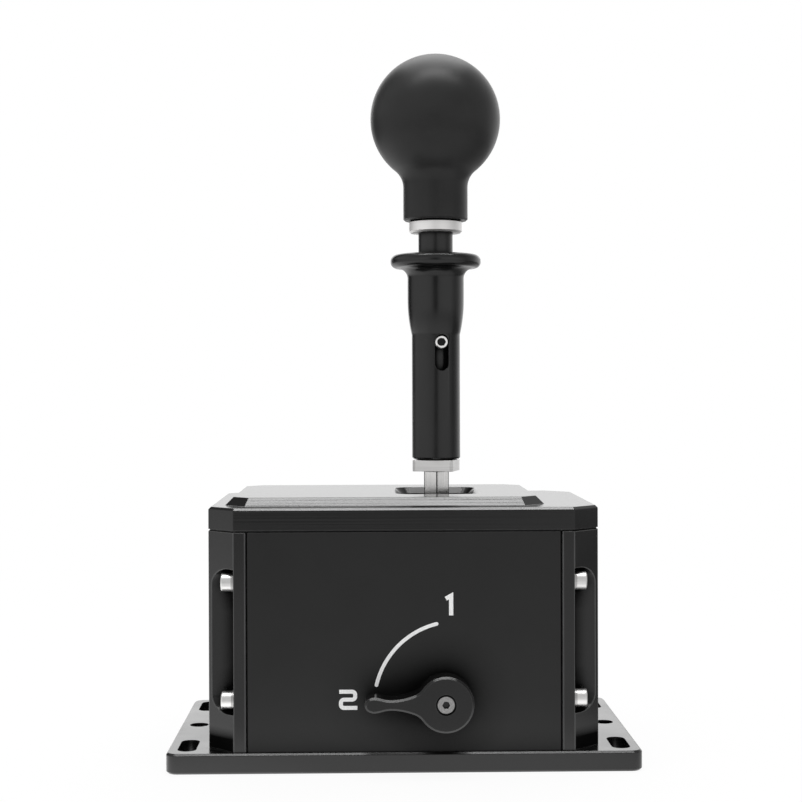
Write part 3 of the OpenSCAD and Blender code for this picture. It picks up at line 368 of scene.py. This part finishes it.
finishes = {
    "plate_black": black_side("plate_black_finish", 0.004, 0.22),
    # Painted highlight: a paler black for the side plates' broken edges, which draws a thin light line along
    # them
    "plate_edge": black_plate("plate_edge_finish", 0.05, 0.30),
    "panel_black": black_panel("panel_black_finish", 0.004, 0.42),
    "base_black": black_plate("base_black_finish", 0.005, 0.22),
    "lid_black": black_lid("lid_black_finish", 0.004, 0.20, 0.13),
    # Painted reflection: a much paler black, with a rougher cut, for the flare of the lever's opening
    "mouth_black": black_lid("mouth_black_finish", 0.17, 0.45, 0.45),
    "turned_black": black_turned("turned_black_finish", 0.004, 0.23),
    "selector_black": black_plate("selector_black_finish", 0.004, 0.23, 1.45),
    "knob_black": black_moulded("knob_black_finish", 0.022, 0.35),
    "bright_steel": metal("bright_steel_finish", grey(0.92, 0.01), 0.45, AROUND_Z),
    "ring_steel": metal("ring_steel_finish", grey(0.97, 0.01), 0.50, AROUND_Z, shade=0.95),
    "rod_steel": metal("rod_steel_finish", grey(0.86, 0.01), 0.22, ALONG_Z),
    # A near-black metal for the rod's broken edges, which draws dark lines along them
    "rod_scale": metal("rod_scale_finish", grey(0.05), 0.35, ALONG_Z),
    "screw_steel": metal("screw_steel_finish", grey(0.82, 0.01), 0.34, EVEN, 0.06),
    "guide_steel": socket_steel("guide_steel_finish", "guide_screw", 1.6 * MM, grey(0.94, 0.01), 0.30),
    "washer_steel": metal("washer_steel_finish", grey(0.52, 0.01), 0.38, EVEN, 0.08),
    "dull_steel": metal("dull_steel_finish", grey(0.40, 0.01), 0.42, EVEN, 0.10, 2200.0, 0.55),
    "raw_aluminium": metal("raw_aluminium_finish", grey(0.58), 0.42, ALONG_X_SHORT),
    "bronze": metal("bronze_finish", (0.62, 0.40, 0.19), 0.34, ALONG_Y),
    "board_green": moulded("board_green_finish", (0.010, 0.075, 0.030), (0.016, 0.105, 0.042), 0.35),
    "switch_plastic": moulded("switch_plastic_finish", grey(0.018), grey(0.028), 0.45),
    "white_print": moulded("white_print_finish", grey(0.93), grey(0.97), 0.50),
}

# Nodes whose finish isn't that of their slot
special = {
    "lid": "lid_black", "base_plate": "base_black",
    "front_panel": "panel_black", "rear_panel": "panel_black",
    "lever_rod": "rod_steel", "guide_screw": "guide_steel", "selector_screw": "dull_steel",
    "spring_washers": "washer_steel", "upper_lock_ring": "ring_steel",
}


def slot_of(node):
    return nodes[node].data.materials[0].name.split(".")[0]


slots = {node: slot_of(node) for node in nodes}


def finish_of(node):
    return finishes[special.get(node, slots[node])].material


def body_of(node):
    return nodes[node].parent.name.split(":")[1]


# Pieces

# Faces that meet at less than this angle, in degrees, are shaded as one
SMOOTH_BELOW = 25.0
# Triangles that meet at less than this angle, in degrees, are one flat face
FLAT_BELOW = 0.2
# Facets across a broken edge
EDGE_FACETS = 3
# Widths of the broken edges, in millimetres
EDGE_WIDTHS = {
    "base_plate": 0.15, "left_side_plate": 0.3, "right_side_plate": 0.3,
    "front_panel": 0.15, "rear_panel": 0.15, "lid": 0.2, "collar": 0.2, "lower_lock_nut": 0.12,
    "lever_rod": 0.3, "side_screws": 0.12, "selector_screw": 0.1,
}

# The seam under the lid: its height, and how far in its floor lies at the sides, in the CAD and here
SEAM_HEIGHT = 0.7 * MM
SEAM_FLOOR = (1.0 * MM, 2.0 * MM)
SEAM_SIDE = 0.5 * MM

# The flare of the lever's opening: its reach from the rod, its depth, and the Z and X of its faces' normals
MOUTH_REACH = 28.0 * MM
MOUTH_DEPTH = 3.0 * MM
MOUTH_Z = (0.2, 0.95)
MOUTH_X = 0.2


def new_piece(name, bm, finish, body):
    mesh = bpy.data.meshes.new(name)
    bm.to_mesh(mesh)
    bm.free()
    if "custom_normal" in mesh.attributes:
        mesh.attributes.remove(mesh.attributes["custom_normal"])
    mesh.materials.clear()
    mesh.materials.append(finish)
    mesh.shade_smooth()
    mesh.set_sharp_from_angle(angle=math.radians(SMOOTH_BELOW))
    piece = bpy.data.objects.new(name, mesh)
    bpy.context.scene.collection.objects.link(piece)
    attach(piece, body)
    return piece


def round_edges(piece, width):
    bevel = piece.modifiers.new("round_edges", "BEVEL")
    bevel.width = width
    bevel.segments = EDGE_FACETS
    bevel.limit_method = "ANGLE"
    bevel.angle_limit = math.radians(SMOOTH_BELOW)
    bevel.use_clamp_overlap = False
    bevel.harden_normals = True


def join_flat(bm):
    bmesh.ops.dissolve_limit(bm, angle_limit=math.radians(FLAT_BELOW), verts=bm.verts, edges=bm.edges)


def whole_faces(node):
    """A CAD node's mesh with its triangles joined into whole flat faces."""
    bm = bmesh.new()
    bm.from_mesh(nodes[node].data)
    bmesh.ops.remove_doubles(bm, verts=bm.verts, dist=WELD)
    join_flat(bm)
    return bm


def close_seam(bm):
    """Bring the seam's floor near the surface at the lid's two sides."""
    low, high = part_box("lid")
    for vert in bm.verts:
        inset = high.x - abs(vert.co.x)
        if vert.co.z < low.z + SEAM_HEIGHT and SEAM_FLOOR[0] < inset < SEAM_FLOOR[1]:
            vert.co.x = math.copysign(high.x - SEAM_SIDE, vert.co.x)


def dressed(node, width):
    """The node again, with its sharp edges broken as machined edges are."""
    bm = whole_faces(node)
    if node == "lid":
        close_seam(bm)
    piece = new_piece(node + "_dressed", bm, finish_of(node), body_of(node))
    round_edges(piece, width)
    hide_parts(node)
    return piece


def roughen_mouth_and_paint_reflection(piece):
    """Give the flare along the front and rear of the lever's opening its own rougher cut, and a paler colour
    that is a painted reflection.
    """
    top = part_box("lid")[1].z
    centre = (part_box("lever_rod")[0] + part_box("lever_rod")[1]) / 2
    piece.data.materials.append(finishes["mouth_black"].material)
    for face in piece.data.polygons:
        away = face.center - centre
        near = max(abs(away.x), abs(away.y)) < MOUTH_REACH and face.center.z > top - MOUTH_DEPTH
        leans = MOUTH_Z[0] < face.normal.z < MOUTH_Z[1]
        if near and leans and abs(face.normal.x) < MOUTH_X:
            face.material_index = 1


def finish_edges(piece, finish):
    """Give a piece's broken edges a finish of their own."""
    piece.data.materials.append(finishes[finish].material)
    piece.modifiers["round_edges"].material = 1


for node, piece in nodes.items():
    piece.material_slots[0].material = finish_of(node)

pieces = {node: dressed(node, width * MM) for node, width in EDGE_WIDTHS.items()}
roughen_mouth_and_paint_reflection(pieces["lid"])
# The rod's broken edges get a near-black metal, which draws dark lines along them
finish_edges(pieces["lever_rod"], "rod_scale")
# The side plates' broken edges get a paler black, a painted highlight along them
finish_edges(pieces["left_side_plate"], "plate_edge")
finish_edges(pieces["right_side_plate"], "plate_edge")


# Collar's return spring, which the collar's bush presses up against its clip


def lifting_spring():
    bm = bmesh.new()
    bm.from_mesh(nodes["collar_spring"].data)
    bmesh.ops.remove_doubles(bm, verts=bm.verts, dist=WELD)
    finish = finish_of("collar_spring")
    piece = new_piece("collar_spring_wound", bm, finish, "lever")
    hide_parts("collar_spring")
    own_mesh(piece)


lifting_spring()


# Selector lever with a flat chamfer along its front edge

# Its outline is drawn again in even steps, each the mean of what lies within reach
OUTLINE_STEP = 0.3 * MM
OUTLINE_REACH = 2.1 * MM
FRONT_CHAMFER = 0.75 * MM
BACK_CHAMFER = 0.2 * MM
# Room around the screw's head, the depth of its seat, and the facets of the seat
SEAT_ROOM = 0.35 * MM
SEAT_DEPTH = 2.0 * MM
SEAT_FACETS = 64
# Points closer than this in depth lie on one flat face
SAME_DEPTH = 10 * WELD
# Faces meet at a sharp edge at more than this angle, in radians
SHARP_ABOVE = 1.0


def outer_loop(bm, y):
    """The outermost edge loop of the flat faces that lie at a depth, in order."""
    flat = {face for face in bm.faces if all(abs(vert.co.y - y) < SAME_DEPTH for vert in face.verts)}
    rim = [edge for edge in bm.edges if sum(face in flat for face in edge.link_faces) == 1]
    steps = {}
    for edge in rim:
        for vert, other in (edge.verts, reversed(edge.verts)):
            steps.setdefault(vert, []).append(other)
    loops = []
    while steps:
        start = here = next(iter(steps))
        loop = []
        while here in steps:
            ways = steps.pop(here)
            loop.append(here.co.copy())
            here = next((way for way in ways if way in steps), start)
        loops.append(loop)
    return max(loops, key=len_round)


def len_round(loop):
    return sum((end - start).length for start, end in zip(loop, loop[1:] + loop[:1]))


def eased(loop, step, reach):
    """A closed loop in even steps, each point drawn to the mean of its neighbours within reach."""
    even = []
    spare = 0.0
    for start, end in zip(loop, loop[1:] + loop[:1]):
        length = (end - start).length
        while spare < length:
            even.append(start.lerp(end, spare / length))
            spare += step
        spare -= length
    span = range(-round(reach / step), round(reach / step) + 1)
    count = len(even)
    around = ([even[(index + near) % count] for near in span] for index in range(count))
    return [sum(points, Vector()) / len(span) for points in around]


def edges_along(bm, loop, y):
    """The edges of a mesh that lie on a loop drawn at a depth."""
    places = {(round(point.x / WELD), round(point.z / WELD)) for point in loop}
    on_loop = {vert for vert in bm.verts if abs(vert.co.y - y) < WELD
               and (round(vert.co.x / WELD), round(vert.co.z / WELD)) in places}
    return [edge for edge in bm.edges
            if on_loop.issuperset(edge.verts) and edge.calc_face_angle(0.0) > SHARP_ABOVE]


def selector():
    low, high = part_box("selector_lever")
    source = whole_faces("selector_lever")
    outline = eased(outer_loop(source, high.y), OUTLINE_STEP, OUTLINE_REACH)
    source.free()
    screw_low, screw_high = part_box("selector_screw")
    centre = (screw_low + screw_high) / 2
    bore = (screw_high.x - screw_low.x) / 2 + SEAT_ROOM
    bm = bmesh.new()

    def ring(points, y):
        """Points at a depth, whose X and Z are the first and last number of each, and their edges."""
        verts = [bm.verts.new((point[0], y, point[-1])) for point in points]
        return verts, [bm.edges.new(pair) for pair in zip(verts, verts[1:] + verts[:1])]

    def wall(first, second):
        pairs = list(zip(first, second))
        for (a, b), (c, d) in zip(pairs, pairs[1:] + pairs[:1]):
            bm.faces.new((a, b, d, c))

    turns = [math.tau * step / SEAT_FACETS for step in range(SEAT_FACETS)]
    circle = [(centre.x + bore * math.cos(turn), centre.z + bore * math.sin(turn)) for turn in turns]
    back, _ = ring(outline, high.y)
    front, front_edges = ring(outline, low.y)
    mouth, mouth_edges = ring(circle, low.y)
    seat, _ = ring(circle, low.y + SEAT_DEPTH)
    wall(back, front)
    wall(mouth, seat)
    bm.faces.new(back)
    bm.faces.new(seat)
    bmesh.ops.triangle_fill(bm, use_beauty=True, edges=front_edges + mouth_edges)
    join_flat(bm)
    bmesh.ops.recalc_face_normals(bm, faces=bm.faces)
    for level, chamfer in ((low.y, FRONT_CHAMFER), (high.y, BACK_CHAMFER)):
        rim = edges_along(bm, outline, level)
        bmesh.ops.bevel(bm, geom=rim, offset=chamfer, segments=1, affect="EDGES")
    finish = finish_of("selector_lever")
    piece = new_piece("selector_lever_dressed", bm, finish, "selector")
    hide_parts("selector_lever")


selector()


# Printed marks on the front panel: an arc and two plain numerals

PRINT_T = 0.05 * MM
# Facets of a line's round end and of a rounded corner
END_FACETS = 10
CORNER_FACETS = 8
# A line's corner is widened by no more than one over this
CORNER_LEAST = 0.3
panel_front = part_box("front_panel")[0].y


def rounded(points, radius):
    """A path with each inner corner turned into an arc."""
    path = [points[0]]
    for before, corner, after in zip(points, points[1:], points[2:]):
        first = (before - corner).normalized()
        second = (after - corner).normalized()
        half = first.angle(second) / 2
        reach = radius / math.tan(half)
        centre = corner + (first + second).normalized() * (radius / math.sin(half))
        start = corner + first * reach - centre
        end = corner + second * reach - centre
        sweep = start.angle_signed(end)
        for step in range(CORNER_FACETS + 1):
            turn = Matrix.Rotation(-sweep * step / CORNER_FACETS, 2)
            path.append(centre + turn @ start)
    path.append(points[-1])
    return path


def stroke(name, path, width, round_ends=False):
    """A printed line of even width along a path of (x, z) points."""
    bm = bmesh.new()
    left, right = [], []
    for index, point in enumerate(path):
        back = (point - path[index - 1]).normalized() if index else None
        ahead = (path[index + 1] - point).normalized() if index + 1 < len(path) else None
        way = ((back or ahead) + (ahead or back)).normalized()
        across = Vector((-way.y, way.x))
        spread = width / 2 / max(CORNER_LEAST, way.dot(ahead or back))
        left.append(point + across * spread)
        right.append(point - across * spread)

    def cap(end, way):
        start = Vector((-way.y, way.x)) * width / 2
        turns = [-math.pi * step / END_FACETS for step in range(1, END_FACETS)]
        return [end + Matrix.Rotation(turn, 2) @ start for turn in turns]

    outline = left[:]
    if round_ends:
        outline += cap(path[-1], (path[-1] - path[-2]).normalized())
    outline += right[::-1]
    if round_ends:
        outline += cap(path[0], (path[0] - path[1]).normalized())
    face = bm.faces.new([bm.verts.new((point.x, panel_front, point.y)) for point in outline])
    raised = bmesh.ops.extrude_face_region(bm, geom=[face])["geom"]
    for vert in raised:
        if isinstance(vert, bmesh.types.BMVert):
            vert.co.y -= PRINT_T
    bmesh.ops.recalc_face_normals(bm, faces=bm.faces)
    new_piece(name, bm, finishes["white_print"].material, "chassis")


def mm_points(*points):
    return [Vector(point) * MM for point in points]


# The arc: its centre and radius in millimetres, its ends in degrees, and its facets
ARC_CENTRE = Vector((19.4, 26.0))
ARC_R = 30.8
ARC_FROM, ARC_TO = 166.8, 103.7
ARC_STEPS = 48
ARC_WIDTH = 1.35 * MM
ONE_WIDTH = 1.6 * MM
TWO_WIDTH = 1.5 * MM
TWO_CORNER = 1.2 * MM
arc = []
for step in range(ARC_STEPS + 1):
    turn = math.radians(ARC_FROM + (ARC_TO - ARC_FROM) * step / ARC_STEPS)
    arc.append((ARC_CENTRE + ARC_R * Vector((math.cos(turn), math.sin(turn)))) * MM)
stroke("mark_arc", arc, ARC_WIDTH, round_ends=True)

one = mm_points((15.6, 65.4), (17.6, 66.5), (17.6, 59.1))
stroke("mark_one", one, ONE_WIDTH)
two = mm_points((-24.6, 30.6), (-18.6, 30.6), (-18.6, 27.6), (-24.0, 27.6), (-24.0, 24.5), (-17.8, 24.5))
stroke("mark_two", rounded(two, TWO_CORNER), TWO_WIDTH)


# Floor, light and camera

# The floor: its half width in metres, how far it lies below the part, and its grey
FLOOR_HALF = 60.0
FLOOR_DROP = 0.05 * MM
FLOOR_GREY = grey(0.82)
WHITE = (1.0, 1.0, 1.0, 1.0)
# Camera rays see the floor turn from lit to plain white: from and to this distance, by these shares
FLOOR_WHITE = (0.15, 0.7, 0.93, 1.0)

# Brightness that mirror rays see, by bearing in degrees from straight ahead of the object, left negative
LOW_BEARINGS = (
    (-180, 1.1), (-156, 1.1), (-150, 0.1), (-130, 0.03), (-122, 0.2), (-112, 0.5), (-100, 0.65),
    (-88, 0.78), (-72, 0.9), (-45, 0.98), (-28, 0.93), (-20, 0.85), (-13, 0.5), (-7, 0.12),
    (4, 0.12), (9, 0.8), (14, 0.85), (20, 0.88), (30, 0.93), (45, 0.95), (62, 0.92), (73, 0.6),
    (84, 0.42), (95, 0.5), (105, 0.6), (116, 0.85), (131, 1.05), (155, 1.1), (180, 1.1),
)
HIGH_BEARINGS = (
    (-180, 1.95), (-158, 1.85), (-150, 0.1), (-134, 0.05), (-124, 0.5), (-110, 0.75), (-95, 0.92),
    (-80, 0.92), (-45, 0.85), (0, 0.78), (45, 0.72), (65, 0.56), (82, 0.42), (95, 0.5),
    (110, 0.65), (122, 0.8), (137, 0.95), (160, 1.85), (180, 1.95),
)
FLOOR_BEARINGS = (
    (-180, 1.1), (-120, 1.3), (-60, 1.3), (-25, 1.0), (47, 0.98), (77, 0.75), (84, 0.3),
    (120, 0.3), (180, 1.1),
)
# The floor's brightness for mirror rays by distance, in metres
FLOOR_DISTANCES = (
    (0.0, 1.35), (0.115, 1.35), (0.15, 0.85), (0.28, 0.85), (0.4, 0.98), (0.9, 0.62), (2.0, 0.5),
)
# Distances over which the floor takes on the low bearings
FLOOR_FAR = (1.2, 2.2)
# Sine of the height at which the low bearings turn into the high ones, and a factor by that sine
LOW_TO_HIGH = (0.11, 0.17)
HEIGHTS = ((0.0, 1.0), (0.26, 1.0), (0.38, 0.75), (1.0, 0.72))


def bearing(shade, direction):
    """The bearing of a direction, from 0 to 1 all the way round, and its height."""
    parts = shade.parts_of(direction)
    ahead = shade.compute("MULTIPLY", parts["Y"], -1.0)
    angle = shade.compute("ARCTAN2", parts["X"], ahead)
    return shade.remap(angle, -math.pi, math.pi), parts["Z"]


def by_bearing(shade, turn, stops):
    return shade.ramp(turn, [((angle + 180) / 360, grey(level)) for angle, level in stops])


def floor():
    bm = bmesh.new()
    bmesh.ops.create_grid(bm, x_segments=1, y_segments=1, size=FLOOR_HALF)
    mesh = bpy.data.meshes.new("floor")
    bm.to_mesh(mesh)
    bm.free()
    piece = bpy.data.objects.new("floor", mesh)
    piece.location.z = -FLOOR_DROP
    bpy.context.scene.collection.objects.link(piece)
    material = bpy.data.materials.new("floor_white")
    material.use_nodes = True
    shade = Shading(material.node_tree)
    shade.tree.nodes.remove(shade.tree.nodes["Principled BSDF"])
    matt = shade.add("BsdfDiffuse")
    matt.inputs["Color"].default_value = (*FLOOR_GREY, 1.0)
    rays = shade.add("LightPath")
    place = shade.add("TexCoord").outputs["Object"]
    distance = shade.vectors("LENGTH", place)["Value"]
    furthest = FLOOR_DISTANCES[-1][0]
    stops = [(metres / furthest, grey(level)) for metres, level in FLOOR_DISTANCES]
    near = shade.ramp(shade.remap(distance, 0.0, furthest), stops)
    turn, _ = bearing(shade, place)
    mirrored = shade.mix(1.0, near, by_bearing(shade, turn, FLOOR_BEARINGS), "MULTIPLY")
    far = shade.remap(distance, *FLOOR_FAR)
    mirrored = shade.mix(far, mirrored, by_bearing(shade, turn, LOW_BEARINGS))
    glow = shade.add("Emission")
    glossy = rays.outputs["Is Glossy Ray"]
    shade.join(shade.mix(glossy, WHITE, mirrored), glow.inputs["Color"])
    white = shade.remap(distance, *FLOOR_WHITE)
    seen = shade.compute("MULTIPLY_ADD", rays.outputs["Is Camera Ray"], white, glossy)
    blend = shade.add("MixShader")
    shade.join(seen, blend.inputs["Fac"])
    shade.join(matt.outputs["BSDF"], blend.inputs[1])
    shade.join(glow.outputs["Emission"], blend.inputs[2])
    shade.join(blend.outputs["Shader"], shade.tree.nodes["Material Output"].inputs["Surface"])
    mesh.materials.append(material)


floor()


def studio():
    world = bpy.data.worlds.new("studio")
    world.use_nodes = True
    bpy.context.scene.world = world
    shade = Shading(world.node_tree)
    turn, height = bearing(shade, shade.add("TexCoord").outputs["Generated"])
    low = by_bearing(shade, turn, LOW_BEARINGS)
    high = by_bearing(shade, turn, HIGH_BEARINGS)
    around = shade.mix(shade.remap(height, *LOW_TO_HIGH), low, high)
    by_height = shade.ramp(height, [(sine, grey(level)) for sine, level in HEIGHTS])
    lit = shade.mix(1.0, around, by_height, "MULTIPLY")
    seen = shade.mix(shade.add("LightPath").outputs["Is Camera Ray"], lit, WHITE)
    shade.join(seen, shade.tree.nodes["Background"].inputs["Color"])


studio()


def softbox(name, place, aim, width, depth, brightness, spread=180.0):
    """A soft panel of the given brightness, where 1 is white."""
    light = bpy.data.lights.new(name, "AREA")
    light.shape = "RECTANGLE"
    light.size = width
    light.size_y = depth
    light.energy = brightness * math.pi * width * depth
    light.spread = math.radians(spread)
    lamp = bpy.data.objects.new(name, light)
    lamp.location = place
    lamp.rotation_euler = (Vector(aim) - Vector(place)).to_track_quat("-Z", "Y").to_euler()
    lamp.visible_camera = False
    bpy.context.scene.collection.objects.link(lamp)


# Lamps hang level: places in metres, each aimed straight down
softbox("softbox_overhead", (0.0, 0.55, 1.2), (0.0, 0.55, 0.2),
        width=1.0, depth=1.0, brightness=1.5, spread=150.0)
softbox("strip_above", (0.0, -0.115, 1.15), (0.0, -0.115, 0.0),
        width=0.6, depth=0.11, brightness=12.0)
softbox("strip_ahead", (0.0, -0.275, 1.15), (0.0, -0.275, 0.0),
        width=1.2, depth=0.07, brightness=12.0)

# The camera fitted to the photo: its place, its turns in radians, and its focal length and frame in pixels
CAMERA_PLACE = Vector((-13.05, -652.54, 144.47)) * MM
CAMERA_YAW, CAMERA_PITCH, CAMERA_ROLL = 0.020, 0.0077, -0.0032
FOCAL_PX, FRAME_PX = 1600.0, 802.0
SENSOR_MM = 36.0
CLIP_FROM = 0.01


def camera():
    data = bpy.data.cameras.new("camera")
    data.sensor_width = SENSOR_MM
    data.lens = FOCAL_PX / FRAME_PX * SENSOR_MM
    data.clip_start = CLIP_FROM
    piece = bpy.data.objects.new("camera", data)
    turned = Matrix.Rotation(-CAMERA_YAW, 3, "Z") @ Matrix.Rotation(-CAMERA_PITCH, 3, "X")
    turned = turned @ Matrix.Rotation(-CAMERA_ROLL, 3, "Y")
    level = Matrix.Rotation(math.pi / 2, 3, "X")
    piece.matrix_world = Matrix.Translation(CAMERA_PLACE) @ (turned @ level).to_4x4()
    bpy.context.scene.collection.objects.link(piece)
    bpy.context.scene.camera = piece


camera()
bpy.context.scene.view_settings.view_transform = "Standard"

bpy.context.view_layer.update()
